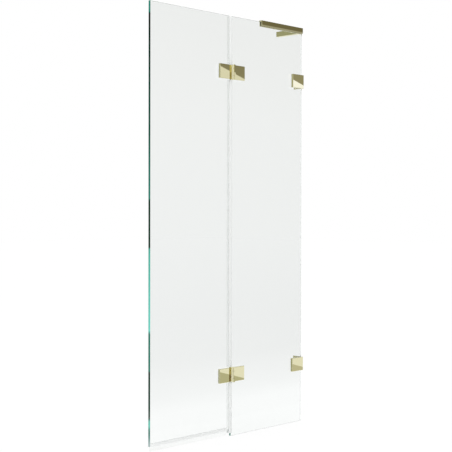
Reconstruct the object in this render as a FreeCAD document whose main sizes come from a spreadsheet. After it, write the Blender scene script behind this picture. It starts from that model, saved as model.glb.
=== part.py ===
import FreeCAD, Part
import math
import os
import re

import Sketcher

# Bath screen: a fixed glass pane standing on the bath rim against a wall, and a
# swing pane hinged to it that folds forward.
# Frame: X along the glass towards the wall, Y from front to back, Z up, millimetres.
# Origin: middle of the fixed pane's bottom edge.

SIZES = {
    # Panes
    "glass_thick": 8,
    "fixed_width": 392,
    "fixed_height": 1500,
    "swing_width": 379,
    "swing_rise": 22,
    "pane_gap": 10,
    "wall_gap": 1.5,
    "arris": 0.5,
    # Heights of the hinges and wall brackets
    "low_fitting_rise": 221,
    "top_fitting_drop": 200.5,
    # Clamp plates on the front of the glass
    "plate_tall": 51,
    "plate_thick": 8,
    "plate_ease": 0.7,
    "swing_plate_wide": 47.7,
    "swing_plate_inset": 7.5,
    "fixed_plate_wide": 53.5,
    "bracket_plate_wide": 63,
    "bracket_plate_gap": 0.5,
    # Gaskets between metal and glass
    "gasket_thick": 1,
    "gasket_inset": 0.9,
    # Back plates of the hinges
    "back_plate_wide": 28,
    "back_plate_tall": 40,
    "back_plate_thick": 5,
    # Screw holes through the glass, measured in from each pane's edge
    "glass_hole_dia": 14,
    "swing_hole_inset": 18,
    "fixed_hole_inset": 38,
    "bracket_hole_inset": 17,
    "screw_pitch": 24,
    # Countersunk clamp screws
    "screw_dia": 5,
    "screw_head_dia": 9,
    "screw_bite": 6,
    "screw_tip_room": 0.6,
    "screw_clear": 0.2,
    "thread_clear": 0.02,
    "head_clear": 0.03,
    "socket_wide": 3,
    "socket_deep": 1.8,
    "sleeve_clear": 0.15,
    # Hinge knuckles
    "knuckle_overhang": 0.9,
    "knuckle_wide": 8.5,
    "knuckle_proud": 6,
    "knuckle_ease": 0.9,
    "knuckle_gap": 0.3,
    "knuckle_lift": 1,
    "axis_depth": 4.5,
    "end_knuckle_tall": 12,
    "relief_clear": 0.3,
    "tab_bite": 2,
    "web_thick": 2.5,
    "web_lap": 1.1,
    "web_foot": 6.4,
    # Hinge pins, bushes and caps
    "pin_dia": 4,
    "running_clear": 0.05,
    "bush_wall": 1,
    "bush_long": 9,
    "bush_flange": 0.8,
    "bush_flange_lip": 0.8,
    "bush_fit": 0.02,
    "end_play": 0.15,
    "cap_thick": 1.5,
    "cap_inset": 0.2,
    # Wall brackets
    "jaw_wide": 30,
    "jaw_thick": 6,
    "leg_reach": 32,
    "leg_thick": 6,
    "bracket_ease": 0.7,
    "wall_screw_dia": 5.5,
    "wall_screw_head_dia": 10.5,
    "wall_screw_pitch": 28,
    # Stabiliser bars along the top of the fixed pane and back along the wall
    "bar_wide": 16.5,
    "bar_crown": 4.5,
    "bar_grip": 16.5,
    "bar_ease": 0.6,
    "bar_bevel_deep": 2,
    "bar_bevel_tall": 6.2,
    "glass_bar_long": 235,
    "wall_bar_long": 109,
    "wall_bar_drop": 2,
    "liner_thick": 0.6,
    "liner_inset": 0.5,
    "slot_clear": 0.1,
    "grub_dia": 5,
    "grub_inset": 45,
    "wall_stud_dia": 6,
    "wall_stud_deep": 11,
    "wall_stud_pitch": 64,
    # Clear seals
    "seal_thick": 1,
    "seal_clear": 0.05,
    "seal_leg": 5,
    "fin_thick": 0.75,
    "fin_lap": 5.5,
    "bulb_clear": 0.35,
    "joint_seal_rise": 11,
    "joint_seal_drop": 3,
    "joint_seal_gap": 2,
    "drip_leg": 9,
    "drip_web_thick": 2,
    "drip_end_gap": 1,
    "drip_joint_gap": 4,
    "lip_thick": 1,
    "lip_rise": 5.6,
    # How far every cut runs past the material
    "overrun": 1,
}

# Named places, worked out from the sizes above
FIXED_X = "(-fixed_width / 2)"
GLASS_END_X = "(fixed_width / 2)"
SWING_X = f"({FIXED_X} - pane_gap)"
SWING_FREE_X = f"({SWING_X} - swing_width)"
WALL_X = f"({GLASS_END_X} + wall_gap)"
FRONT_Y = "(-glass_thick / 2)"
REAR_Y = "(glass_thick / 2)"
FRONT_SEAT_Y = f"({FRONT_Y} - gasket_thick)"
REAR_SEAT_Y = f"({REAR_Y} + gasket_thick)"
BACK_PLATE_Y = f"({REAR_SEAT_Y} + back_plate_thick)"
JAW_Y = f"({REAR_SEAT_Y} + jaw_thick)"
LOWER_Z = "(low_fitting_rise)"
UPPER_Z = "(fixed_height - top_fitting_drop)"
HEIGHTS = {"lower": LOWER_Z, "upper": UPPER_Z}

SWING_PLATE_X = (f"({SWING_X} - swing_plate_inset - swing_plate_wide)", f"({SWING_X} - swing_plate_inset)")
KNUCKLE_LEFT_X = f"({FIXED_X} - knuckle_overhang)"
KNUCKLE_RIGHT_X = f"({KNUCKLE_LEFT_X} + knuckle_wide)"
FIXED_PLATE_LEFT_X = f"({KNUCKLE_RIGHT_X} + knuckle_gap)"
FIXED_PLATE_X = (FIXED_PLATE_LEFT_X, f"({FIXED_PLATE_LEFT_X} + fixed_plate_wide)")
BRACKET_PLATE_END_X = f"({WALL_X} - bracket_plate_gap)"
BRACKET_PLATE_X = (f"({BRACKET_PLATE_END_X} - bracket_plate_wide)", BRACKET_PLATE_END_X)
SWING_SCREW_X = f"({SWING_X} - swing_hole_inset)"
FIXED_SCREW_X = f"({FIXED_X} + fixed_hole_inset)"
BRACKET_SCREW_X = f"({GLASS_END_X} - bracket_hole_inset)"

KNUCKLE_FRONT_Y = f"({FRONT_SEAT_Y} - plate_thick - knuckle_proud)"
WEB_TOP_Y = f"({FRONT_SEAT_Y} - web_thick)"
WEB_END_X = f"({KNUCKLE_LEFT_X} + web_lap)"
AXIS_X = f"({KNUCKLE_LEFT_X} + knuckle_wide / 2)"
AXIS_Y = f"({KNUCKLE_FRONT_Y} + axis_depth)"
BUSH_DIA = "(pin_dia + 2 * running_clear + 2 * bush_wall)"
MIDDLE_TALL = "(plate_tall - 2 * end_knuckle_tall - 2 * bush_flange - 2 * end_play)"

SLOT_HALF = "(glass_thick / 2 + seal_clear + liner_thick + slot_clear)"
SLOT_TOP_Z = "(fixed_height + seal_clear + liner_thick + slot_clear)"
BAR_TOP_Z = f"({SLOT_TOP_Z} + bar_crown)"
BAR_LOW_Z = "(fixed_height - bar_grip)"
WALL_BAR_TOP_Z = f"({BAR_TOP_Z} - wall_bar_drop)"
WALL_BAR_MID_Z = f"(({WALL_BAR_TOP_Z} + {BAR_LOW_Z}) / 2)"
BAR_GRIP_Z = f"(({BAR_LOW_Z} + fixed_height) / 2)"
GRUB_X = (f"{WALL_X} - glass_bar_long + grub_inset", f"{WALL_X} - bar_wide - grub_inset")
CLIP_HALF = "(glass_thick / 2 + seal_clear)"

COUNTERSINK_ANGLE = 90
FULL_TURN = 360
HEXAGON_STEP = 60

doc = FreeCAD.newDocument("bath_screen")
sheet = doc.addObject("Spreadsheet::Sheet", "sizes")
for row, (word, size) in enumerate(SIZES.items(), start=1):
    sheet.set(f"A{row}", word)
    sheet.set(f"B{row}", str(size))
    sheet.setAlias(f"B{row}", word)
doc.recompute()

finished = []


def bind(thing, name, text):
    """Tie a property to the sheet; each word in text that is a size names its cell."""
    tied = re.sub(r"[a-z_]+", lambda word: f"sizes.{word[0]}" if word[0] in SIZES else word[0], text)
    thing.setExpression(name, tied)


def body(label, keep=True):
    """A new body, kept as a sub-part of that name or as a member of a group."""
    made = doc.addObject("PartDesign::Body", label)
    made.Label = label
    made.AllowCompound = True
    if keep:
        finished.append(made)
    return made


def place(thing, x="0", y="0", z="0"):
    for letter, text in zip("xyz", (x, y, z)):
        bind(thing, f"Placement.Base.{letter}", text)


def group(label, members):
    """One sub-part made of several separate like solids."""
    made = doc.addObject("Part::Compound", label)
    made.Label = label
    made.Links = members
    finished.append(made)
    return made


def sketch(owner, plane, level="0"):
    """A sketch on an origin plane, moved along the plane's row axis to level."""
    made = owner.newObject("Sketcher::SketchObject", f"{owner.Label}_sketch")
    support = next(item for item in owner.Origin.OriginFeatures if item.Role == f"{plane}_Plane")
    made.AttachmentSupport = (support, [""])
    made.MapMode = "FlatFace"
    # The XZ plane faces forward, against the Y axis
    bind(made, "AttachmentOffset.Base.z", f"-({level})" if plane == "XZ" else level)
    return made


def dimension(profile, kind, geometry, point, start, text):
    """Hold one coordinate of a point at a size from the sheet."""
    index = profile.addConstraint(Sketcher.Constraint(kind, -1, 1, geometry, point, start))
    bind(profile, f"Constraints[{index}]", text)


def outline(profile, corners):
    """A closed loop of straight edges, begun as a unit polygon, with each corner then dimensioned."""
    count = len(corners)
    first = profile.GeometryCount
    angles = [2 * math.pi * i / count for i in range(count)]
    start = [FreeCAD.Vector(math.cos(angle), math.sin(angle), 0) for angle in angles]
    for i in range(count):
        profile.addGeometry(Part.LineSegment(start[i], start[(i + 1) % count]))
    for i in range(count):
        profile.addConstraint(Sketcher.Constraint("Coincident", first + i, 2, first + (i + 1) % count, 1))
    for i, (across, up) in enumerate(corners):
        dimension(profile, "DistanceX", first + i, 1, start[i].x, across)
        dimension(profile, "DistanceY", first + i, 1, start[i].y, up)


def rectangle(profile, left, right, low, high):
    outline(profile, [(left, low), (right, low), (right, high), (left, high)])


def circle(profile, across, up, diameter):
    """A circle that starts at unit size and is then dimensioned."""
    start = FreeCAD.Vector(1, 1, 0)
    index = profile.addGeometry(Part.Circle(start, FreeCAD.Vector(0, 0, 1), 1))
    dimension(profile, "DistanceX", index, 3, start.x, across)
    dimension(profile, "DistanceY", index, 3, start.y, up)
    size = profile.addConstraint(Sketcher.Constraint("Diameter", index, 2))
    bind(profile, f"Constraints[{size}]", diameter)


def pad(owner, profile, length, side="One side", back=False):
    made = owner.newObject("PartDesign::Pad", f"{owner.Label}_pad")
    made.Profile = profile
    made.SideType = side
    made.Reversed = back
    bind(made, "Length", length)
    doc.recompute()
    return made


def must_cut(feature, before):
    """Stop if a cut took nothing away, as one that points out of the solid does."""
    doc.recompute()
    if not feature.Shape.Volume < before:
        raise ValueError(f"{feature.Label} cuts nothing")


def pocket(owner, profile, length, side="One side", back=False):
    before = owner.Tip.Shape.Volume
    made = owner.newObject("PartDesign::Pocket", f"{owner.Label}_pocket")
    made.Profile = profile
    made.SideType = side
    made.Reversed = back
    bind(made, "Length", length)
    must_cut(made, before)


def countersunk(owner, profile, diameter, head_diameter, back):
    """Through holes with a cone for a flat head, at the circles of profile."""
    before = owner.Tip.Shape.Volume
    doc.recompute()
    made = owner.newObject("PartDesign::Hole", f"{owner.Label}_hole")
    made.Profile = profile
    made.ThreadType = "None"
    made.DepthType = "ThroughAll"
    made.DrillPoint = "Flat"
    made.HoleCutType = "Countersink"
    made.HoleCutCustomValues = True
    made.HoleCutCountersinkAngle = COUNTERSINK_ANGLE
    made.Reversed = back
    bind(made, "Diameter", diameter)
    bind(made, "HoleCutDiameter", head_diameter)
    must_cut(made, before)


def ease_edges(owner, feature, kind, prop, size):
    """Break every edge of a block, as polished metal and ground glass have them."""
    made = owner.newObject(f"PartDesign::{kind}", f"{owner.Label}_ease")
    made.Base = (feature, [""])
    made.UseAllEdges = True
    bind(made, prop, size)
    doc.recompute()


def turned(owner, profile):
    """A full turn of profile about its upright axis."""
    made = owner.newObject("PartDesign::Revolution", f"{owner.Label}_turn")
    made.Profile = profile
    made.ReferenceAxis = (profile, ["V_Axis"])
    made.Angle = FULL_TURN
    doc.recompute()


def pair(middle, pitch):
    """Two places, half a pitch below and above the middle."""
    return [f"({middle}) - {pitch} / 2", f"({middle}) + {pitch} / 2"]


def glass_pane(label, left, right, low, high, columns):
    """A ground and polished pane with clamp holes in each screw column."""
    owner = body(label)
    face = sketch(owner, "XZ")
    rectangle(face, left, right, low, high)
    slab = pad(owner, face, "glass_thick", "Symmetric")
    ease_edges(owner, slab, "Chamfer", "Size", "arris")
    holes = sketch(owner, "XZ")
    for column in columns:
        for middle in HEIGHTS.values():
            for height in pair(middle, "screw_pitch"):
                circle(holes, column, height, "glass_hole_dia")
    pocket(owner, holes, "glass_thick + 2 * overrun", "Symmetric")


def front_plate(label, sides):
    """A clamp plate on its gasket in front of the glass, its middle at height zero."""
    owner = body(label)
    face = sketch(owner, "XZ", FRONT_SEAT_Y)
    rectangle(face, *sides, "-plate_tall / 2", "plate_tall / 2")
    block = pad(owner, face, "plate_thick")
    ease_edges(owner, block, "Fillet", "Radius", "plate_ease")
    return owner


def tap_plate(owner, column):
    """Blind threaded holes for the clamp screws, from the plate's glass side."""
    holes = sketch(owner, "XZ", FRONT_SEAT_Y)
    for height in pair("0", "screw_pitch"):
        circle(holes, column, height, "screw_dia + 2 * thread_clear")
    pocket(owner, holes, "screw_bite + screw_tip_room", back=True)


def sink_screws(owner, column, level):
    """Countersunk clearance holes for the clamp screws, from the back."""
    holes = sketch(owner, "XZ", level)
    for height in pair("0", "screw_pitch"):
        circle(holes, column, height, "screw_dia + 2 * screw_clear")
    countersunk(owner, holes, "screw_dia + 2 * screw_clear", "screw_head_dia + 2 * head_clear", back=True)


def knuckle_corners(back_y):
    """A knuckle's outline from its right back corner round its two eased front edges."""
    return [
        (KNUCKLE_RIGHT_X, back_y),
        (KNUCKLE_RIGHT_X, f"{KNUCKLE_FRONT_Y} + knuckle_ease"),
        (f"{KNUCKLE_RIGHT_X} - knuckle_ease", KNUCKLE_FRONT_Y),
        (f"{KNUCKLE_LEFT_X} + knuckle_ease", KNUCKLE_FRONT_Y),
        (KNUCKLE_LEFT_X, f"{KNUCKLE_FRONT_Y} + knuckle_ease"),
    ]


def fixed_leaf(label):
    """Fixed half of a hinge: a clamp plate with a knuckle at each end of its edge."""
    owner = front_plate(label, FIXED_PLATE_X)
    back_y = f"({WEB_TOP_Y} - knuckle_lift)"
    tab_x = f"{FIXED_PLATE_LEFT_X} + tab_bite"
    tab_y = f"({FRONT_SEAT_Y} - plate_thick + plate_ease)"
    for level in ("-plate_tall / 2", "plate_tall / 2 - end_knuckle_tall"):
        profile = sketch(owner, "XY", level)
        corners = [(tab_x, back_y), (tab_x, tab_y)] + knuckle_corners(tab_y)
        outline(profile, corners + [(KNUCKLE_LEFT_X, back_y)])
        pad(owner, profile, "end_knuckle_tall")
    relief = sketch(owner, "XY")
    circle(relief, AXIS_X, AXIS_Y, "2 * (sqrt((knuckle_wide / 2) ^ 2 + axis_depth ^ 2) + relief_clear)")
    pocket(owner, relief, "plate_tall - 2 * end_knuckle_tall", "Symmetric")
    bore = sketch(owner, "XY")
    circle(bore, AXIS_X, AXIS_Y, "pin_dia + 2 * bush_fit")
    pocket(owner, bore, "plate_tall + 2 * overrun", "Symmetric")
    tap_plate(owner, FIXED_SCREW_X)
    return owner


def swing_leaf(label):
    """Swinging half of a hinge: a clamp plate, a web across the glass gap and the middle knuckle."""
    owner = front_plate(label, SWING_PLATE_X)
    web = sketch(owner, "XY")
    rectangle(web, f"{SWING_PLATE_X[1]} - tab_bite", WEB_END_X, WEB_TOP_Y, FRONT_SEAT_Y)
    pad(owner, web, "plate_tall", "Symmetric")
    foot_x = f"{KNUCKLE_LEFT_X} + web_foot"
    root_x = f"{WEB_END_X} - tab_bite"
    profile = sketch(owner, "XY")
    corners = [(root_x, FRONT_SEAT_Y), (foot_x, FRONT_SEAT_Y), (foot_x, WEB_TOP_Y)]
    corners += knuckle_corners(WEB_TOP_Y) + [(KNUCKLE_LEFT_X, WEB_TOP_Y), (root_x, WEB_TOP_Y)]
    outline(profile, corners)
    pad(owner, profile, MIDDLE_TALL, "Symmetric")
    bore = sketch(owner, "XY")
    circle(bore, AXIS_X, AXIS_Y, f"{BUSH_DIA} + 2 * bush_fit")
    pocket(owner, bore, f"{MIDDLE_TALL} + 2 * overrun", "Symmetric")
    tap_plate(owner, SWING_SCREW_X)
    return owner


def back_plate(label, column):
    """Back plate of a hinge leaf, centred on its screws."""
    owner = body(label)
    face = sketch(owner, "XZ", REAR_SEAT_Y)
    sides = (f"{column} - back_plate_wide / 2", f"{column} + back_plate_wide / 2")
    rectangle(face, *sides, "-back_plate_tall / 2", "back_plate_tall / 2")
    block = pad(owner, face, "back_plate_thick", back=True)
    ease_edges(owner, block, "Fillet", "Radius", "plate_ease")
    sink_screws(owner, column, BACK_PLATE_Y)
    return owner


def wall_bracket(label):
    """Angle behind the fixed pane: a jaw on the glass and a leg back along the wall."""
    owner = body(label)
    profile = sketch(owner, "XY", "-plate_tall / 2")
    inner_x = f"{WALL_X} - leg_thick"
    jaw_x = f"{WALL_X} - jaw_wide"
    leg_y = f"{REAR_SEAT_Y} + leg_reach"
    outline(profile, [
        (jaw_x, REAR_SEAT_Y), (WALL_X, REAR_SEAT_Y), (WALL_X, leg_y),
        (inner_x, leg_y), (inner_x, JAW_Y), (jaw_x, JAW_Y),
    ])
    angle = pad(owner, profile, "plate_tall")
    ease_edges(owner, angle, "Fillet", "Radius", "bracket_ease")
    sink_screws(owner, BRACKET_SCREW_X, JAW_Y)
    wall_holes = sketch(owner, "YZ", inner_x)
    for height in pair("0", "wall_screw_pitch"):
        circle(wall_holes, f"({JAW_Y} + {leg_y}) / 2", height, "wall_screw_dia")
    countersunk(owner, wall_holes, "wall_screw_dia", "wall_screw_head_dia", back=True)
    return owner


def gaskets(label, front, rear, column):
    """Soft sheets between metal and glass at both heights, in front and behind."""
    owner = body(label)
    for (left, right, tall), level, behind in ((front, FRONT_Y, False), (rear, REAR_Y, True)):
        profile = sketch(owner, "XZ", level)
        for middle in HEIGHTS.values():
            half = f"({tall} / 2 - gasket_inset)"
            rectangle(profile, f"{left} + gasket_inset", f"{right} - gasket_inset",
                      f"{middle} - {half}", f"{middle} + {half}")
            for height in pair(middle, "screw_pitch"):
                circle(profile, column, height, "screw_dia + 2 * screw_clear")
        pad(owner, profile, "gasket_thick", back=behind)


def sleeves(label, column):
    """Plastic sleeves that keep the screws off the glass in its holes."""
    owner = body(label)
    profile = sketch(owner, "XZ")
    for middle in HEIGHTS.values():
        for height in pair(middle, "screw_pitch"):
            circle(profile, column, height, "glass_hole_dia - 2 * sleeve_clear")
            circle(profile, column, height, "screw_dia + 2 * screw_clear")
    pad(owner, profile, "glass_thick", "Symmetric")


def hex_socket(owner):
    """Key socket in a screw's outer end at Y zero."""
    profile = sketch(owner, "XZ")
    radius = "socket_wide / sqrt(3)"
    angles = range(0, FULL_TURN, HEXAGON_STEP)
    outline(profile, [(f"{radius} * cos({angle} deg)", f"{radius} * sin({angle} deg)") for angle in angles])
    pocket(owner, profile, "socket_deep", back=True)


def flat_screw(label, length):
    """Countersunk screw, its flat head at Y zero and its shank forward along the Y axis."""
    owner = body(label, keep=False)
    profile = sketch(owner, "XY")
    outline(profile, [
        ("0", "0"), ("screw_head_dia / 2", "0"),
        ("screw_dia / 2", "-(screw_head_dia - screw_dia) / 2"),
        ("screw_dia / 2", f"-({length})"), ("0", f"-({length})"),
    ])
    turned(owner, profile)
    hex_socket(owner)
    return owner


def clamp_screws(label, column, level):
    """The screws of one column, from the back face at level into the front plates."""
    members = []
    for name, middle in HEIGHTS.items():
        for height in pair(middle, "screw_pitch"):
            screw = flat_screw(f"{label}_{name}_{len(members)}", f"{level} - {FRONT_SEAT_Y} + screw_bite")
            place(screw, column, level, height)
            members.append(screw)
    group(label, members)


def hinge_pin(label, middle):
    pin = doc.addObject("Part::Cylinder", label)
    pin.Label = label
    bind(pin, "Radius", "pin_dia / 2")
    bind(pin, "Height", "plate_tall")
    place(pin, AXIS_X, AXIS_Y, f"{middle} - plate_tall / 2")
    finished.append(pin)


def hinge_bushes(label, middle):
    """Flanged plastic bushes, one pressed into each end of the middle knuckle."""
    owner = body(label)
    inner = "pin_dia / 2 + running_clear"
    outer = f"{BUSH_DIA} / 2"
    lip = f"{BUSH_DIA} / 2 + bush_flange_lip"
    for sign in ("", "-"):
        tail, seat, top = (
            f"{sign}({MIDDLE_TALL} / 2 - bush_long)", f"{sign}({MIDDLE_TALL} / 2)",
            f"{sign}({MIDDLE_TALL} / 2 + bush_flange)")
        profile = sketch(owner, "XZ")
        outline(profile, [
            (inner, tail), (outer, tail), (outer, seat),
            (lip, seat), (lip, top), (inner, top),
        ])
        turned(owner, profile)
    place(owner, AXIS_X, AXIS_Y, middle)


def pin_caps(label):
    """Thin caps over both ends of each hinge pin."""
    owner = body(label)
    sides = (f"{KNUCKLE_LEFT_X} + cap_inset", f"{KNUCKLE_RIGHT_X} - cap_inset")
    depth = (f"{KNUCKLE_FRONT_Y} + cap_inset", f"{WEB_TOP_Y} - knuckle_lift - cap_inset")
    for middle in HEIGHTS.values():
        for level in (f"{middle} - plate_tall / 2 - cap_thick", f"{middle} + plate_tall / 2"):
            profile = sketch(owner, "XY", level)
            outline(profile, [
                (sides[0], depth[1]), (sides[1], depth[1]),
                (sides[1], f"{depth[0]} + knuckle_ease"), (f"{sides[1]} - knuckle_ease", depth[0]),
                (f"{sides[0]} + knuckle_ease", depth[0]), (sides[0], f"{depth[0]} + knuckle_ease"),
            ])
            pad(owner, profile, "cap_thick")


def glass_bar():
    """Slotted stabiliser bar over the top of the fixed pane, up to the wall, bevelled low on its front."""
    owner = body("stabiliser_glass_bar")
    left = f"({WALL_X} - glass_bar_long)"
    profile = sketch(owner, "YZ", left)
    outline(profile, [
        ("-bar_wide / 2", f"{BAR_LOW_Z} + bar_bevel_tall"), ("bar_bevel_deep - bar_wide / 2", BAR_LOW_Z),
        (f"-{SLOT_HALF}", BAR_LOW_Z), (f"-{SLOT_HALF}", SLOT_TOP_Z),
        (SLOT_HALF, SLOT_TOP_Z), (SLOT_HALF, BAR_LOW_Z), ("bar_wide / 2", BAR_LOW_Z),
        ("bar_wide / 2", BAR_TOP_Z), ("-bar_wide / 2", BAR_TOP_Z),
    ])
    channel = pad(owner, profile, "glass_bar_long")
    ease_edges(owner, channel, "Fillet", "Radius", "bar_ease")
    corner = sketch(owner, "XZ", SLOT_HALF)
    circle(corner, f"{WALL_X} - bar_wide / 2", BAR_GRIP_Z, "screw_dia + 2 * screw_clear")
    countersunk(owner, corner, "screw_dia + 2 * screw_clear", "screw_head_dia + 2 * head_clear", back=False)
    grubs = sketch(owner, "XZ", SLOT_HALF)
    for column in GRUB_X:
        circle(grubs, column, BAR_GRIP_Z, "grub_dia + 2 * thread_clear")
    pocket(owner, grubs, "bar_wide", back=False)


def wall_bar():
    """Stabiliser bar back along the wall from the glass bar, with blind stud holes in its wall face."""
    owner = body("stabiliser_wall_bar")
    end = sketch(owner, "XZ", "bar_wide / 2")
    rectangle(end, f"{WALL_X} - bar_wide", WALL_X, BAR_LOW_Z, WALL_BAR_TOP_Z)
    block = pad(owner, end, "wall_bar_long", back=True)
    ease_edges(owner, block, "Fillet", "Radius", "bar_ease")
    corner = sketch(owner, "XZ", "bar_wide / 2")
    circle(corner, f"{WALL_X} - bar_wide / 2", BAR_GRIP_Z, "screw_dia + 2 * thread_clear")
    pocket(owner, corner, "screw_bite + screw_tip_room", back=False)
    studs = sketch(owner, "YZ", WALL_X)
    for depth in pair("bar_wide / 2 + wall_bar_long / 2", "wall_stud_pitch"):
        circle(studs, depth, WALL_BAR_MID_Z, "wall_stud_dia")
    pocket(owner, studs, "wall_stud_deep")


def bar_liner():
    """Soft channel between the glass and the slot of the glass bar."""
    owner = body("stabiliser_liner")
    left = f"({WALL_X} - glass_bar_long)"
    outer = f"({CLIP_HALF} + liner_thick)"
    low = f"({BAR_LOW_Z} + liner_inset)"
    inner_top = "(fixed_height + seal_clear)"
    top = f"({inner_top} + liner_thick)"
    profile = sketch(owner, "YZ", left)
    outline(profile, [
        (f"-{outer}", low), (f"-{CLIP_HALF}", low), (f"-{CLIP_HALF}", inner_top), (CLIP_HALF, inner_top),
        (CLIP_HALF, low), (outer, low), (outer, f"{top} - bar_ease"), (f"{outer} - bar_ease", top),
        (f"bar_ease - {outer}", top), (f"-{outer}", f"{top} - bar_ease"),
    ])
    pad(owner, profile, "glass_bar_long - wall_gap")


def bar_screws():
    """The countersunk corner screw, its head in the slot, and the grub screws behind the slot."""
    corner = flat_screw("corner_screw", f"bar_wide / 2 - {SLOT_HALF} + screw_bite")
    corner.Placement.Rotation = FreeCAD.Rotation(FreeCAD.Vector(0, 0, 1), FULL_TURN / 2)
    place(corner, f"{WALL_X} - bar_wide / 2", SLOT_HALF, BAR_GRIP_Z)
    group("stabiliser_corner_screw", [corner])
    members = []
    for column in GRUB_X:
        grub = body(f"grub_screw_{len(members)}", keep=False)
        profile = sketch(grub, "XY")
        long = f"-(bar_wide / 2 - {SLOT_HALF})"
        rectangle(profile, "0", "grub_dia / 2", long, "0")
        turned(grub, profile)
        hex_socket(grub)
        place(grub, column, "bar_wide / 2", BAR_GRIP_Z)
        members.append(grub)
    group("stabiliser_grub_screws", members)


def joint_seal(label, low, high):
    """Clear seal clipped on the fixed pane: a bulb that fills the joint and a fin behind the swing pane."""
    owner = body(label)
    inner = f"({FIXED_X} - seal_clear)"
    outer = f"({SWING_X} + bulb_clear)"
    leg = f"({FIXED_X} + seal_leg)"
    fin_x = f"({SWING_X} - fin_lap)"
    face = f"({CLIP_HALF} + seal_thick)"
    profile = sketch(owner, "XY", low)
    outline(profile, [
        (leg, f"-{face}"), (leg, f"-{CLIP_HALF}"), (inner, f"-{CLIP_HALF}"),
        (inner, CLIP_HALF), (leg, CLIP_HALF), (leg, face), (fin_x, face),
        (fin_x, f"{face} - fin_thick"), (outer, f"{face} - fin_thick"), (outer, f"-{face}"),
    ])
    pad(owner, profile, f"{high} - ({low})")


def bottom_seal():
    """Clear seal clipped under the swing pane, its lip hanging towards the rim."""
    owner = body("bottom_seal")
    left = f"({SWING_FREE_X} + drip_end_gap)"
    right = f"({SWING_X} - fin_lap - drip_joint_gap)"
    face = f"({CLIP_HALF} + seal_thick)"
    top = "(swing_rise + drip_leg)"
    web_top = "(swing_rise - seal_clear)"
    web_low = f"({web_top} - drip_web_thick)"
    profile = sketch(owner, "YZ", left)
    outline(profile, [
        (f"-{face}", top), (f"-{CLIP_HALF}", top), (f"-{CLIP_HALF}", web_top),
        (CLIP_HALF, web_top), (CLIP_HALF, top), (face, top), (face, web_low),
        ("lip_thick / 2", web_low), ("lip_thick / 2", "lip_rise"),
        ("-lip_thick / 2", "lip_rise"), ("-lip_thick / 2", web_low), (f"-{face}", web_low),
    ])
    pad(owner, profile, f"{right} - {left}")


glass_pane("fixed_pane", FIXED_X, GLASS_END_X, "0", "fixed_height", (FIXED_SCREW_X, BRACKET_SCREW_X))
glass_pane("swing_pane", SWING_FREE_X, SWING_X, "swing_rise", "fixed_height", (SWING_SCREW_X,))

for where, height in HEIGHTS.items():
    place(fixed_leaf(f"{where}_fixed_leaf"), z=height)
    place(swing_leaf(f"{where}_swing_leaf"), z=height)
    place(back_plate(f"{where}_fixed_back_plate", FIXED_SCREW_X), z=height)
    place(back_plate(f"{where}_swing_back_plate", SWING_SCREW_X), z=height)
    place(wall_bracket(f"{where}_wall_bracket"), z=height)
    clamp = front_plate(f"{where}_bracket_plate", BRACKET_PLATE_X)
    tap_plate(clamp, BRACKET_SCREW_X)
    place(clamp, z=height)
    hinge_pin(f"{where}_hinge_pin", height)
    hinge_bushes(f"{where}_hinge_bushes", height)
pin_caps("hinge_pin_caps")

leaves = (("fixed_leaf", FIXED_PLATE_X, FIXED_SCREW_X), ("swing_leaf", SWING_PLATE_X, SWING_SCREW_X))
for name, plate, column in leaves:
    behind = (f"{column} - back_plate_wide / 2", f"{column} + back_plate_wide / 2", "back_plate_tall")
    gaskets(f"{name}_gaskets", (*plate, "plate_tall"), behind, column)
    sleeves(f"{name}_sleeves", column)
    clamp_screws(f"{name}_screws", column, BACK_PLATE_Y)
bracket_front = (BRACKET_PLATE_X[0], GLASS_END_X, "plate_tall")
bracket_rear = (f"{WALL_X} - jaw_wide", GLASS_END_X, "plate_tall")
gaskets("bracket_gaskets", bracket_front, bracket_rear, BRACKET_SCREW_X)
sleeves("bracket_sleeves", BRACKET_SCREW_X)
clamp_screws("bracket_screws", BRACKET_SCREW_X, JAW_Y)

glass_bar()
wall_bar()
bar_liner()
bar_screws()

half_hinge = "(plate_tall / 2 + joint_seal_gap)"
joint_seal("joint_seal_lower", "joint_seal_rise", f"{LOWER_Z} - {half_hinge}")
joint_seal("joint_seal_middle", f"{LOWER_Z} + {half_hinge}", f"{UPPER_Z} - {half_hinge}")
joint_seal("joint_seal_upper", f"{UPPER_Z} + {half_hinge}", "fixed_height - joint_seal_drop")
bottom_seal()

doc.recompute()
for item in doc.Objects:
    if "Invalid" in item.State or "Error" in item.State:
        raise ValueError(f"{item.Label} failed to build")
os.makedirs("parts", exist_ok=True)
for piece in finished:
    if piece.Shape.isNull() or not piece.Shape.isValid():
        raise ValueError(f"{piece.Label} has no valid shape")
    piece.Shape.exportStep(f"parts/{piece.Label}.step")
print(f"{len(finished)} sub-parts written")
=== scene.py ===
"""Looks of the bath screen: finishes for its glass, gold fittings, seals, gaskets, nylon and screws, with the
studio and the camera that show it. Lengths are in metres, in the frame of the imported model: X runs along the
glass towards the wall, -Y is the bather's side and Z is up."""
import math

import bpy
import numpy as np
from mathutils import Matrix, Vector


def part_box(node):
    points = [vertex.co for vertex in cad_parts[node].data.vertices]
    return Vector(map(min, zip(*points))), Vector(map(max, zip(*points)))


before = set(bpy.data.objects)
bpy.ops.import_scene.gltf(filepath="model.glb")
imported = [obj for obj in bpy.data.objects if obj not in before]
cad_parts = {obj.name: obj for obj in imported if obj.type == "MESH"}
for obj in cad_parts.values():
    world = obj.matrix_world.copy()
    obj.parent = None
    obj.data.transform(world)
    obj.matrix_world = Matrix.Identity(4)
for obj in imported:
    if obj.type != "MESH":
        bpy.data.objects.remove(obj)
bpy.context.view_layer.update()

MM = 0.001
X, Y, Z = range(3)


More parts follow.
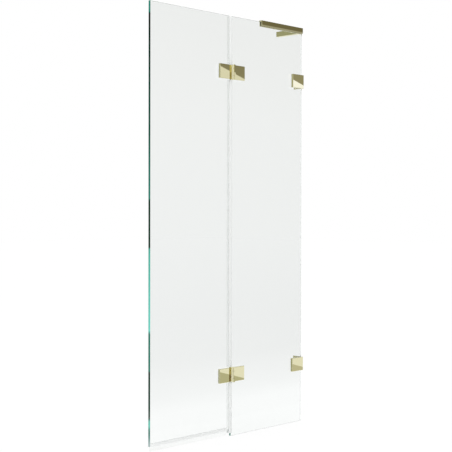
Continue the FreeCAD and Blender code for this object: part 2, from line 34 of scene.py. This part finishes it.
def linear(hex_colour):
    """The linear RGBA of an sRGB colour such as #C0A060."""
    srgb = np.array([int(hex_colour[i:i + 2], 16) for i in (1, 3, 5)]) / 255
    low, high = srgb / 12.92, ((srgb + 0.055) / 1.055) ** 2.4
    return (*np.where(srgb <= 0.04045, low, high).tolist(), 1.0)


def add(tree, kind, inputs, stops=(), **settings):
    """Adds a shader node with its settings and returns its outputs. Each input is a value, or the output of
    another node, which is linked. Stops are a colour ramp's pairs of a share from 0 to 1 and its colour."""
    made = tree.nodes.new("ShaderNode" + kind)
    for name, value in settings.items():
        setattr(made, name, value)
    for name, value in inputs.items():
        if isinstance(value, bpy.types.NodeSocket):
            tree.links.new(value, made.inputs[name])
        else:
            made.inputs[name].default_value = value
    for index, (share, colour) in enumerate(stops):
        run = made.color_ramp.elements
        stop = run[index] if index < len(run) else run.new(share)
        stop.position, stop.color = share, linear(colour)
    return made.outputs


def blank(data):
    """Empties the node tree of a material or world, and returns it."""
    data.use_nodes = True
    data.node_tree.nodes.clear()
    return data.node_tree


def dress(material, *names):
    """Gives the named CAD nodes that material."""
    for name in names:
        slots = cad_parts[name].data.materials
        slots.clear()
        slots.append(material)


# Finishes, each for one material

def tempered_glass(pane, joint_side, face_band, edge_green_and_painted_light_tones):
    """Clear float glass, cut, polished on its edges and tempered. Its faces are flat and almost colourless.
    Its edges are painted deep green, the colour that the light leaving them takes on its long way through the
    pane, with painted light and shade along their height where they brighten to teal or darken. On the side
    away from the joint the painted green also shows through a thin band of the face. The edge in the joint
    looks pale where the seal lies on it, and so do the other arrises, which are ground matt. The tempering
    rollers leave a faint long wave in the faces."""
    hairline = 0.05 * MM
    arris = 0.55 * MM
    roller_wave = 280 * MM
    wave_depth = 0.02 * MM
    polish_streak = 9 * MM
    streak_share = 0.002
    low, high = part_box(pane)
    middle, half = (low + high) / 2, (high - low) / 2
    material = bpy.data.materials.new("tempered_glass_" + pane)
    tree = blank(material)
    place = add(tree, "TexCoord", {})["Object"]
    centred = add(tree, "Mapping", {"Vector": place, "Location": -middle})["Vector"]
    axes = add(tree, "SeparateXYZ", {"Vector": centred})
    inward = add(tree, "Math", {0: axes["X"], 1: joint_side}, operation="MULTIPLY")[0]
    aside = add(tree, "Math", {0: inward}, operation="ABSOLUTE")[0]
    height = add(tree, "Math", {0: axes["Z"]}, operation="ABSOLUTE")[0]
    near_side = add(tree, "Math", {0: aside, 1: half.x - arris}, operation="GREATER_THAN")[0]
    side_face = add(tree, "Math", {0: aside, 1: half.x - hairline}, operation="GREATER_THAN")[0]
    near_end = add(tree, "Math", {0: height, 1: half.z - arris}, operation="GREATER_THAN")[0]
    end_face = add(tree, "Math", {0: height, 1: half.z - hairline}, operation="GREATER_THAN")[0]
    in_joint = add(tree, "Math", {0: inward, 1: half.x - arris}, operation="GREATER_THAN")[0]
    outside = add(tree, "Math", {0: inward, 1: face_band - half.x}, operation="LESS_THAN")[0]
    flats = add(tree, "Math", {0: side_face, 1: end_face}, operation="MAXIMUM")[0]
    cut = add(tree, "Math", {0: near_side, 1: near_end}, operation="MAXIMUM")[0]
    ground = add(tree, "Math", {0: cut, 1: flats}, operation="SUBTRACT")[0]
    rim = add(tree, "Math", {0: cut, 1: outside}, operation="MAXIMUM")[0]
    # From inside the glass the edges are clear and mirror the pane, and the arrises are frosted
    within = add(tree, "NewGeometry", {})["Backfacing"]
    edge = add(tree, "Math", {0: rim, 1: within}, operation="SUBTRACT", use_clamp=True)[0]
    frosted = add(tree, "Math", {0: ground, 1: within}, operation="MULTIPLY")[0]
    frost = add(tree, "MapRange", {"Value": in_joint, "To Min": 0.8, "To Max": 0.35})["Result"]
    gloss = add(tree, "MapRange", {"Value": edge, "To Min": 0.0, "To Max": 0.05})["Result"]
    # The joint's edge is pale above the foot of its seal
    over = add(tree, "Math", {0: axes["Z"], 1: SEAL_FOOT - middle.z}, operation="GREATER_THAN")[0]
    sealed = add(tree, "Math", {0: in_joint, 1: over}, operation="MULTIPLY")[0]
    light = add(tree, "Math", {0: sealed, 1: ground}, operation="MAXIMUM")[0]
    pale = add(tree, "Math", {0: light, 1: outside}, operation="SUBTRACT", use_clamp=True)[0]
    streak = add(tree, "TexNoise", {"Vector": centred, "Scale": 1 / polish_streak, "Detail": 3.0})["Fac"]
    rise = add(tree, "MapRange", {"Value": axes["Z"], "From Min": -half.z, "From Max": half.z})["Result"]
    uneven = add(tree, "Math", {0: streak, 1: streak_share, 2: rise}, operation="MULTIPLY_ADD")[0]
    # Painted light and shade: the edges' green, and the band of face beside the free edge, darken and brighten
    # by height as the surroundings would light them
    green = add(tree, "ValToRGB", {"Fac": uneven}, edge_green_and_painted_light_tones)["Color"]
    cut_tone = add(tree, "Mix", {0: pale, 6: green, 7: linear("#EFF2F1")}, data_type="RGBA")[2]
    clearness = add(tree, "MapRange", {"Value": edge, "To Min": 1.0, "To Max": 0.05})["Result"]
    wave = add(tree, "TexNoise", {"Vector": centred, "Scale": 1 / roller_wave, "Detail": 0.0})["Fac"]
    surface = add(tree, "BsdfPrincipled", {
        "Base Color": add(tree, "Mix", {0: edge, 6: linear("#F6F8F7"), 7: cut_tone}, data_type="RGBA")[2],
        "Roughness": add(tree, "Math", {0: frosted, 1: frost, 2: gloss}, operation="MULTIPLY_ADD")[0],
        "Transmission Weight": clearness,
        "IOR": 1.52,
        "Normal": add(tree, "Bump", {"Height": wave, "Distance": wave_depth})["Normal"],
    })["BSDF"]
    add(tree, "OutputMaterial", {"Surface": surface})
    return material


def polished_gold():
    """Brass, buffed to a mirror and plated pale gold. The flats stay sharp mirrors, with a little more haze
    where the buffing wheel crossed them and a slight change of tone in the plating."""
    plating_cloud = 22 * MM
    buffing_line = 1.6 * MM
    buffing_depth = 0.0006 * MM
    buffing_stretch = (1.0, 1.0, 0.2)
    material = bpy.data.materials.new("polished_gold")
    tree = blank(material)
    place = add(tree, "TexCoord", {})["Object"]
    along = add(tree, "Mapping", {"Vector": place, "Scale": buffing_stretch})["Vector"]
    cloud = add(tree, "TexNoise", {"Vector": place, "Scale": 1 / plating_cloud, "Detail": 2.0})["Fac"]
    buffed = add(tree, "TexNoise", {"Vector": along, "Scale": 1 / buffing_line, "Detail": 4.0})["Fac"]
    plating = {0: cloud, 6: linear("#F3EEC2"), 7: linear("#F2EDC8")}
    surface = add(tree, "BsdfPrincipled", {
        "Base Color": add(tree, "Mix", plating, data_type="RGBA")[2],
        "Metallic": 1.0,
        "Roughness": add(tree, "MapRange", {"Value": buffed, "To Min": 0.02, "To Max": 0.045})["Result"],
        "Normal": add(tree, "Bump", {"Height": buffed, "Distance": buffing_depth})["Normal"],
    })["BSDF"]
    add(tree, "OutputMaterial", {"Surface": surface})
    return material


def soft_silicone(name, node, stretch, milk_back, milk):
    """Silicone, extruded in two grades at once: a firm milky part in front, and behind it a soft see-through
    part with a matt skin on its back and its left tip. Fine die lines run along the strip."""
    die_line = 1.2 * MM
    line_depth = 0.03 * MM
    skin = 0.1 * MM
    low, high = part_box(node)
    material = bpy.data.materials.new(name)
    tree = blank(material)
    place = add(tree, "TexCoord", {})["Object"]
    axes = add(tree, "SeparateXYZ", {"Vector": place})
    front = add(tree, "Math", {0: axes["Y"], 1: milk_back}, operation="LESS_THAN")[0]
    tip = add(tree, "Math", {0: axes["X"], 1: low.x + skin}, operation="LESS_THAN")[0]
    back = add(tree, "Math", {0: axes["Y"], 1: high.y - skin}, operation="GREATER_THAN")[0]
    matt = add(tree, "Math", {0: tip, 1: back}, operation="MAXIMUM")[0]
    # From inside the soft part its skin is clear
    within = add(tree, "NewGeometry", {})["Backfacing"]
    skinned = add(tree, "Math", {0: matt, 1: within}, operation="SUBTRACT", use_clamp=True)[0]
    milky = add(tree, "Math", {0: front, 1: skinned}, operation="MAXIMUM")[0]
    along = add(tree, "Mapping", {"Vector": place, "Scale": stretch})["Vector"]
    lines = add(tree, "TexNoise", {"Vector": along, "Scale": 1 / die_line, "Detail": 2.0})["Fac"]
    # The second pair, the matt skin's tone, is painted paler than the milky front: painted light that lifts
    # the shade of the tip in the joint
    clear, pale, firm = (
        add(tree, "Mix", {0: lines, 6: linear(dark), 7: linear(light)}, data_type="RGBA")[2]
        for dark, light in (("#F8FAF9", "#FCFDFC"), ("#F6F8F7", "#FAFCFB"), milk))
    milk_and_painted_light = add(tree, "Mix", {0: front, 6: pale, 7: firm}, data_type="RGBA")[2]
    clearness = add(tree, "MapRange", {"Value": milky, "To Min": 0.98, "To Max": 0.1})["Result"]
    surface = add(tree, "BsdfPrincipled", {
        "Base Color": add(tree, "Mix", {0: milky, 6: clear, 7: milk_and_painted_light}, data_type="RGBA")[2],
        "Roughness": add(tree, "MapRange", {"Value": lines, "To Min": 0.08, "To Max": 0.2})["Result"],
        "Transmission Weight": clearness,
        "IOR": 1.41,
        "Normal": add(tree, "Bump", {"Height": lines, "Distance": line_depth})["Normal"],
    })["BSDF"]
    add(tree, "OutputMaterial", {"Surface": surface})
    return material


def matt_rubber(name, dark, light):
    """EPDM, cut from sheet or extruded: matt, with a fine grain between two greys."""
    grain = 0.5 * MM
    grain_depth = 0.04 * MM
    material = bpy.data.materials.new(name)
    tree = blank(material)
    place = add(tree, "TexCoord", {})["Object"]
    speck = add(tree, "TexNoise", {"Vector": place, "Scale": 1 / grain, "Detail": 3.0})["Fac"]
    greys = {0: speck, 6: linear(dark), 7: linear(light)}
    surface = add(tree, "BsdfPrincipled", {
        "Base Color": add(tree, "Mix", greys, data_type="RGBA")[2],
        "Roughness": add(tree, "MapRange", {"Value": speck, "To Min": 0.6, "To Max": 0.8})["Result"],
        "Normal": add(tree, "Bump", {"Height": speck, "Distance": grain_depth})["Normal"],
    })["BSDF"]
    add(tree, "OutputMaterial", {"Surface": surface})
    return material


def moulded_nylon(name, dark, light):
    """Moulded nylon, plain or oil-filled: a soft sheen and a faint mould texture between two close tones."""
    texture = 0.8 * MM
    texture_depth = 0.02 * MM
    material = bpy.data.materials.new(name)
    tree = blank(material)
    place = add(tree, "TexCoord", {})["Object"]
    speck = add(tree, "TexNoise", {"Vector": place, "Scale": 1 / texture, "Detail": 3.0})["Fac"]
    shades = {0: speck, 6: linear(dark), 7: linear(light)}
    surface = add(tree, "BsdfPrincipled", {
        "Base Color": add(tree, "Mix", shades, data_type="RGBA")[2],
        "Roughness": add(tree, "MapRange", {"Value": speck, "To Min": 0.38, "To Max": 0.52})["Result"],
        "Normal": add(tree, "Bump", {"Height": speck, "Distance": texture_depth})["Normal"],
    })["BSDF"]
    add(tree, "OutputMaterial", {"Surface": surface})
    return material


def stainless_steel():
    """Stainless steel screws and pins, turned: grey metal with a satin streak."""
    turning_line = 0.4 * MM
    turning_depth = 0.004 * MM
    turning_stretch = (0.3, 1.0, 0.3)
    material = bpy.data.materials.new("stainless_steel")
    tree = blank(material)
    place = add(tree, "TexCoord", {})["Object"]
    along = add(tree, "Mapping", {"Vector": place, "Scale": turning_stretch})["Vector"]
    lines = add(tree, "TexNoise", {"Vector": along, "Scale": 1 / turning_line, "Detail": 2.0})["Fac"]
    greys = {0: lines, 6: linear("#BDBCB8"), 7: linear("#D2D1CD")}
    surface = add(tree, "BsdfPrincipled", {
        "Base Color": add(tree, "Mix", greys, data_type="RGBA")[2],
        "Metallic": 1.0,
        "Roughness": add(tree, "MapRange", {"Value": lines, "To Min": 0.2, "To Max": 0.38})["Result"],
        "Normal": add(tree, "Bump", {"Height": lines, "Distance": turning_depth})["Normal"],
    })["BSDF"]
    add(tree, "OutputMaterial", {"Surface": surface})
    return material


# The nodes and their finishes

SEAL_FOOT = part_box("joint_seal_lower")[0].z

# How far the painted green of the edges shows through the face, beside the wall and at the free edge
WALL_BAND = 0.05 * MM
FREE_BAND = 1.5 * MM

# Greens of the panes' edges by height, from the foot to the top, with painted light and shade: the steps
# between deep green and bright teal are painted reflections of the surroundings
WALL_EDGE_GREEN_AND_PAINTED_LIGHT = ((0.0, "#3E8B79"), (0.3, "#2B6B5C"), (0.6, "#3C8B79"), (1.0, "#438E7D"))
FREE_EDGE_GREEN_AND_PAINTED_LIGHT = (
    (0.004, "#9EB2B1"), (0.013, "#829C99"), (0.022, "#4A8077"), (0.031, "#357467"), (0.042, "#327E6E"),
    (0.044, "#58BCA8"), (0.061, "#54B4A1"), (0.063, "#033A2A"), (0.169, "#023625"), (0.171, "#257462"),
    (0.257, "#237260"), (0.259, "#68CBBB"), (0.445, "#47A592"), (0.448, "#01321F"), (0.554, "#012F1D"),
    (0.557, "#277664"), (0.62, "#226757"), (0.70, "#0F4A3A"), (0.973, "#010D08"), (0.975, "#2C7968"))

# The seals' die lines are drawn out along them, and their milky parts end at these places along Y
ALONG_X = (0.02, 1.0, 1.0)
ALONG_Z = (1.0, 1.0, 0.02)
UPRIGHT_MILK_BACK = 4.05 * MM
LEVEL_MILK_BACK = -4 * MM
UPRIGHT_MILK = ("#EAECEB", "#EEF0EF")
# The level seal's milk is painted lighter than the upright seals' milk: painted light on the bottom seal
LEVEL_MILK = ("#F0F2F1", "#F4F6F5")

dress(tempered_glass("fixed_pane", -1.0, WALL_BAND, WALL_EDGE_GREEN_AND_PAINTED_LIGHT), "fixed_pane")
dress(tempered_glass("swing_pane", 1.0, FREE_BAND, FREE_EDGE_GREEN_AND_PAINTED_LIGHT), "swing_pane")
dress(soft_silicone("soft_silicone_upright", "joint_seal_upper", ALONG_Z, UPRIGHT_MILK_BACK, UPRIGHT_MILK),
      "joint_seal_upper", "joint_seal_middle", "joint_seal_lower")
dress(soft_silicone("soft_silicone_level", "bottom_seal", ALONG_X, LEVEL_MILK_BACK, LEVEL_MILK),
      "bottom_seal")
dress(matt_rubber("grey_rubber", "#8A8C8F", "#9C9EA1"),
      "bracket_gaskets", "fixed_leaf_gaskets", "swing_leaf_gaskets")
dress(matt_rubber("black_rubber", "#141516", "#202122"), "stabiliser_liner")
dress(moulded_nylon("white_nylon", "#E2DFD6", "#EFEDE6"),
      "bracket_sleeves", "fixed_leaf_sleeves", "swing_leaf_sleeves")
dress(moulded_nylon("tan_nylon", "#93864F", "#A4975E"), "upper_hinge_bushes", "lower_hinge_bushes")
dress(stainless_steel(), "bracket_screws", "fixed_leaf_screws", "swing_leaf_screws", "upper_hinge_pin",
      "lower_hinge_pin", "stabiliser_grub_screws", "stabiliser_corner_screw")
gold = polished_gold()
dress(gold, "hinge_pin_caps", "stabiliser_glass_bar", "stabiliser_wall_bar")
for row in ("upper_", "lower_"):
    dress(gold, *(row + piece for piece in (
        "wall_bracket", "bracket_plate", "fixed_leaf", "fixed_back_plate", "swing_leaf", "swing_back_plate")))


# Camera, fitted to the panes' edges in the photograph

CAMERA_PLACE = Vector((-2.9358, -2.6089, 0.8026))
AZIMUTH, ELEVATION, ROLL = (math.radians(angle) for angle in (-46.175, 0.771, 0.103))
LENS, SENSOR = 84.305, 36.0  # in millimetres


def photographed_view():
    """A level camera, turned by its azimuth and elevation and then rolled about its own axis."""
    right = Vector((math.cos(AZIMUTH), math.sin(AZIMUTH), 0))
    back = Vector((math.sin(AZIMUTH) * math.cos(ELEVATION), -math.cos(AZIMUTH) * math.cos(ELEVATION),
                   math.sin(ELEVATION)))
    up = back.cross(right)
    rolled_right = math.cos(ROLL) * right + math.sin(ROLL) * up
    rolled_up = math.cos(ROLL) * up - math.sin(ROLL) * right
    view = bpy.data.objects.new("view", bpy.data.cameras.new("view"))
    view.data.lens, view.data.sensor_width = LENS, SENSOR
    turned = Matrix((rolled_right, rolled_up, back)).transposed().to_4x4()
    view.matrix_world = Matrix.Translation(CAMERA_PLACE) @ turned
    bpy.context.scene.collection.objects.link(view)
    bpy.context.scene.camera = view


photographed_view()


# Studio

AMBIENT = 0.9        # world light on the object, beside the soft lamp
FLOOR_SHADE = 0.1    # share of the floor's look that takes shadows
FLOOR_WHITE = 1.016  # makes up for the share that takes shadows
FLOOR_HALF = 20.0
LAMP_PLACE = Vector((-3.0, -1.5, 3.4))
LAMP_AIM = Vector((-0.2, 0, 0.7))
LAMP_WIDE = 2.5
LAMP_POWER = 60.0


def seen_directly(tree):
    """1 where the camera, a mirror or clear glass sees a surface, and 0 for the light that it gives."""
    path = add(tree, "LightPath", {})
    seen = add(tree, "Math", {0: path["Is Camera Ray"], 1: path["Is Glossy Ray"]}, operation="ADD")[0]
    return add(tree, "Math", {0: seen, 1: path["Is Transmission Ray"]}, operation="ADD", use_clamp=True)[0]


def white_world():
    """A white surround that gives soft light from all sides."""
    world = bpy.data.worlds.new("studio")
    bpy.context.scene.world = world
    tree = blank(world)
    seen = seen_directly(tree)
    strength = add(tree, "MapRange", {"Value": seen, "To Min": AMBIENT, "To Max": 1.0})["Result"]
    light = add(tree, "Background", {"Color": linear("#FFFFFF"), "Strength": strength})["Background"]
    add(tree, "OutputWorld", {"Surface": light})


def staged_quad(name, corners, material):
    """A flat four-cornered sheet of the studio."""
    mesh = bpy.data.meshes.new(name)
    mesh.from_pydata([tuple(corner) for corner in corners], [], [(0, 1, 2, 3)])
    mesh.materials.append(material)
    sheet = bpy.data.objects.new(name, mesh)
    bpy.context.scene.collection.objects.link(sheet)
    return sheet


def level_corners(left, right, front, back, height):
    """The corners of a level sheet."""
    return (left, front, height), (right, front, height), (right, back, height), (left, back, height)


def pale_floor():
    """A pale floor at the bath rim's height, which shows white and keeps a soft shadow."""
    material = bpy.data.materials.new("pale_floor")
    tree = blank(material)
    matt = add(tree, "BsdfDiffuse", {"Color": linear("#FDFDFD")})["BSDF"]
    white = add(tree, "Emission", {"Color": linear("#FFFFFF"), "Strength": FLOOR_WHITE})["Emission"]
    share = add(tree, "Math", {0: seen_directly(tree), 1: 1 - FLOOR_SHADE}, operation="MULTIPLY")[0]
    add(tree, "OutputMaterial", {"Surface": add(tree, "MixShader", {0: share, 1: matt, 2: white})[0]})
    staged_quad("floor", level_corners(-FLOOR_HALF, FLOOR_HALF, -FLOOR_HALF, FLOOR_HALF, 0), material)


def soft_lamp():
    """One large lamp, high on the camera's left."""
    lamp = bpy.data.objects.new("soft_lamp", bpy.data.lights.new("soft_lamp", "AREA"))
    lamp.data.shape, lamp.data.size, lamp.data.energy = "DISK", LAMP_WIDE, LAMP_POWER
    lamp.location = LAMP_PLACE
    lamp.rotation_euler = (LAMP_AIM - LAMP_PLACE).to_track_quat("-Z", "Y").to_euler()
    lamp.visible_glossy = lamp.visible_camera = lamp.visible_transmission = False
    bpy.context.scene.collection.objects.link(lamp)


def card(name, corners, stops, strength=1.0):
    """A sheet that only shows in reflections, also in those seen through the glass, with a run of tones from
    its lowest point to its highest."""
    heights = [corner[Z] for corner in corners]
    span = {"From Min": min(heights), "From Max": max(heights)}
    material = bpy.data.materials.new(name)
    tree = blank(material)
    place = add(tree, "SeparateXYZ", {"Vector": add(tree, "TexCoord", {})["Object"]})
    rise = add(tree, "MapRange", {"Value": place["Z"], **span})["Result"]
    tone = add(tree, "ValToRGB", {"Fac": rise}, stops)["Color"]
    light = add(tree, "Emission", {"Color": tone, "Strength": strength})["Emission"]
    clear = add(tree, "BsdfTransparent", {})["BSDF"]
    bounces = add(tree, "LightPath", {})["Glossy Depth"]
    mirrored_once = add(tree, "Math", {0: bounces, 1: 0.5}, operation="GREATER_THAN")[0]
    shown = add(tree, "MixShader", {0: mirrored_once, 1: clear, 2: light})[0]
    add(tree, "OutputMaterial", {"Surface": shown})
    sheet = staged_quad(name, corners, material)
    sheet.visible_camera = sheet.visible_diffuse = sheet.visible_shadow = False


def plain(colour):
    """The tones of a card of one colour."""
    return ((0.0, colour), (1.0, colour))


# Small cards that the fittings' flat faces mirror to the camera. The front plates' cards have a slanting
# edge, which crosses each fitting near its middle
GLINT_SLOPE = -0.28
GLINT_MARGIN = 3 * MM
GLINT_DEPTH = 0.2
FRONT_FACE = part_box("upper_bracket_plate")[0].y


def mirrored(point, axis, depth):
    """Where the camera's line to that point lands after a mirror square to the axis turns it: the same line
    from the camera's mirror image, carried on to that depth in front of the mirror."""
    image = CAMERA_PLACE.copy()
    image[axis] = 2 * point[axis] - image[axis]
    return image + (point - image) * (1 + depth / abs(image[axis] - point[axis]))


def glint(name, nodes, drop, above, below, strength=1.0):
    """Cards mirrored in one fitting's front plates: one tone above the slanting edge and one below it, where
    the edge runs through a point that lies that drop under the fitting's middle."""
    corners = np.array([list(corner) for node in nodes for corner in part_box(node)])
    left, right = corners[:, X].min() - GLINT_MARGIN, corners[:, X].max() + GLINT_MARGIN
    bottom, top = corners[:, Z].min() - GLINT_MARGIN, corners[:, Z].max() + GLINT_MARGIN
    middle = (bottom + top) / 2 - drop
    slant = [(x, middle + GLINT_SLOPE * (x - (left + right) / 2)) for x in (left, right)]
    for side, end, tone in (("above", top, above), ("below", bottom, below)):
        if tone:
            outline = [slant[0], slant[1], (right, end), (left, end)]
            points = [mirrored(Vector((x, FRONT_FACE, z)), Y, GLINT_DEPTH) for x, z in outline]
            card(f"{name}_{side}", points, plain(tone), strength)


def face_card(node, axis, depth, tone, margins):
    """A card mirrored in the side that the node turns to the camera across that axis, with margins along the
    other two axes."""
    low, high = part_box(node)
    across, along = (other for other in (X, Y, Z) if other != axis)
    points = []
    for a, b in ((0, 0), (1, 0), (1, 1), (0, 1)):
        point = Vector()
        point[axis] = low[axis] if CAMERA_PLACE[axis] < low[axis] else high[axis]
        point[across] = (low[across] - margins[0], high[across] + margins[0])[a]
        point[along] = (low[along] - margins[1], high[along] + margins[1])[b]
        points.append(mirrored(point, axis, depth))
    card(f"{node}_card_{axis}", points, plain(tone))


# The recess beside each knuckle turns light straight back, the floor's share to the right of the camera's
# line and the knuckle's share to the left, so a card on each side of that line gives each its tone
KNUCKLE_CARD_AWAY = 0.6
KNUCKLE_CARD_WIDE = 0.25
KNUCKLE_CARD_STRENGTH = 1.4
KNUCKLE_CARD_HALF_SHARE = 0.6
RECESS_DEPTH = 5.5 * MM


def knuckle_cards(level, floor_below, floor_above, side):
    """Cards for one hinge's recess: two tones for its floor, split at the hinge's middle, and one for the
    side of the knuckle."""
    low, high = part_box(level + "_fixed_leaf")
    corner = Vector((low.x, FRONT_FACE + RECESS_DEPTH, (low.z + high.z) / 2))
    line = CAMERA_PLACE - corner
    across = Vector((-line.y, line.x, 0)).normalized()
    foot = corner + line * (KNUCKLE_CARD_AWAY / line.length)
    foot.z = 2 * corner.z - foot.z
    rise = Vector((0, 0, (high.z - low.z) * KNUCKLE_CARD_HALF_SHARE))
    split = ((0.0, floor_below), (0.49, floor_below), (0.51, floor_above))
    for name, turn, stops in (("floor", 1, split), ("side", -1, plain(side))):
        reach = across * turn * KNUCKLE_CARD_WIDE
        corners = [foot - rise, foot + reach - rise, foot + reach + rise, foot + rise]
        card(f"{level}_knuckle_{name}", corners, stops, KNUCKLE_CARD_STRENGTH)


# The surround leans away from the glass, from a line on the floor up to its top. A bright apron lies between
# that line and the glass, just over the floor
SURROUND_LEFT, SURROUND_RIGHT = -0.5, 6.0
SURROUND_FOOT_Y, SURROUND_TOP_Y = -0.24, -2.2
SURROUND_TOP = 3.4
SURROUND_STRENGTH = 1.25
SURROUND_TONES = (
    (0.0, "#FFFFFF"), (0.015, "#FAFAFA"), (0.030, "#C4C4C4"), (0.066, "#64645F"), (0.11, "#5C5C59"),
    (0.206, "#8C8C88"), (0.37, "#929088"), (0.44, "#7F7B6A"), (0.53, "#65604D"))
APRON_BACK = -5 * MM
APRON_LIFT = 0.5 * MM
APRON_STRENGTH = 1.35
CEILING_HALF, CEILING_HEIGHT = 5.0, 3.5

# Depths, tone and margins of the cards for the fittings' sides, and how far the glints' edges lie under the
# fittings' middles
SIDE_DEPTH, LEVEL_DEPTH = 0.5, 0.05
SIDE_TONE = "#A8A994"
SIDE_MARGINS = (5 * MM, 5 * MM)
PANE_MARGINS = (15 * MM, 15 * MM)
ANGLE_SIDE_MARGINS = (45 * MM, 2 * MM)
ANGLE_LEVEL_MARGINS = (8 * MM, 8 * MM)
HINGE_DROP, BRACKET_DROP = 2 * MM, 5 * MM
UPPER_BRACKET_STRENGTH = 1.28


def studio_cards():
    """What the metal and the glass mirror besides the white surround: a dark surround in front of the wall
    side that pales towards the floor, a dark ceiling, and the fittings' own cards."""
    card("front_surround", (
        (SURROUND_LEFT, SURROUND_FOOT_Y, 0), (SURROUND_RIGHT, SURROUND_FOOT_Y, 0),
        (SURROUND_RIGHT, SURROUND_TOP_Y, SURROUND_TOP), (SURROUND_LEFT, SURROUND_TOP_Y, SURROUND_TOP)),
        SURROUND_TONES, SURROUND_STRENGTH)
    card("ceiling", level_corners(-CEILING_HALF, CEILING_HALF, -CEILING_HALF, CEILING_HALF, CEILING_HEIGHT),
         plain("#7C7868"))
    card("floor_front", level_corners(SURROUND_LEFT, SURROUND_RIGHT, SURROUND_FOOT_Y, APRON_BACK, APRON_LIFT),
         plain("#FFFFFF"), APRON_STRENGTH)
    for node in ("stabiliser_glass_bar", "stabiliser_wall_bar", "upper_swing_leaf", "lower_swing_leaf",
                 "upper_bracket_plate", "lower_bracket_plate"):
        face_card(node, X, SIDE_DEPTH, SIDE_TONE, SIDE_MARGINS)
    face_card("swing_pane", X, SIDE_DEPTH, "#101010", PANE_MARGINS)
    for node in ("upper_wall_bracket", "lower_wall_bracket"):
        face_card(node, X, SIDE_DEPTH, SIDE_TONE, ANGLE_SIDE_MARGINS)
        face_card(node, Z, LEVEL_DEPTH, "#A8A88A", ANGLE_LEVEL_MARGINS)
    glint("upper_hinge_glint", ["upper_swing_leaf", "upper_fixed_leaf"], HINGE_DROP, None, "#E3E2DF")
    glint("upper_bracket_glint", ["upper_bracket_plate"], BRACKET_DROP, "#868271", "#EAECFF",
          UPPER_BRACKET_STRENGTH)
    glint("lower_hinge_glint", ["lower_swing_leaf", "lower_fixed_leaf"], HINGE_DROP, "#EEEEEF", "#BBBAA7")
    glint("lower_bracket_glint", ["lower_bracket_plate"], BRACKET_DROP, "#EDEDEE", "#C5C2B3")
    knuckle_cards("upper", "#8B825B", "#AAA27A", "#D0D4FF")
    knuckle_cards("lower", "#635434", "#8F885F", "#D0D4FF")


white_world()
pale_floor()
soft_lamp()
studio_cards()

bpy.context.scene.view_settings.view_transform = "Standard"
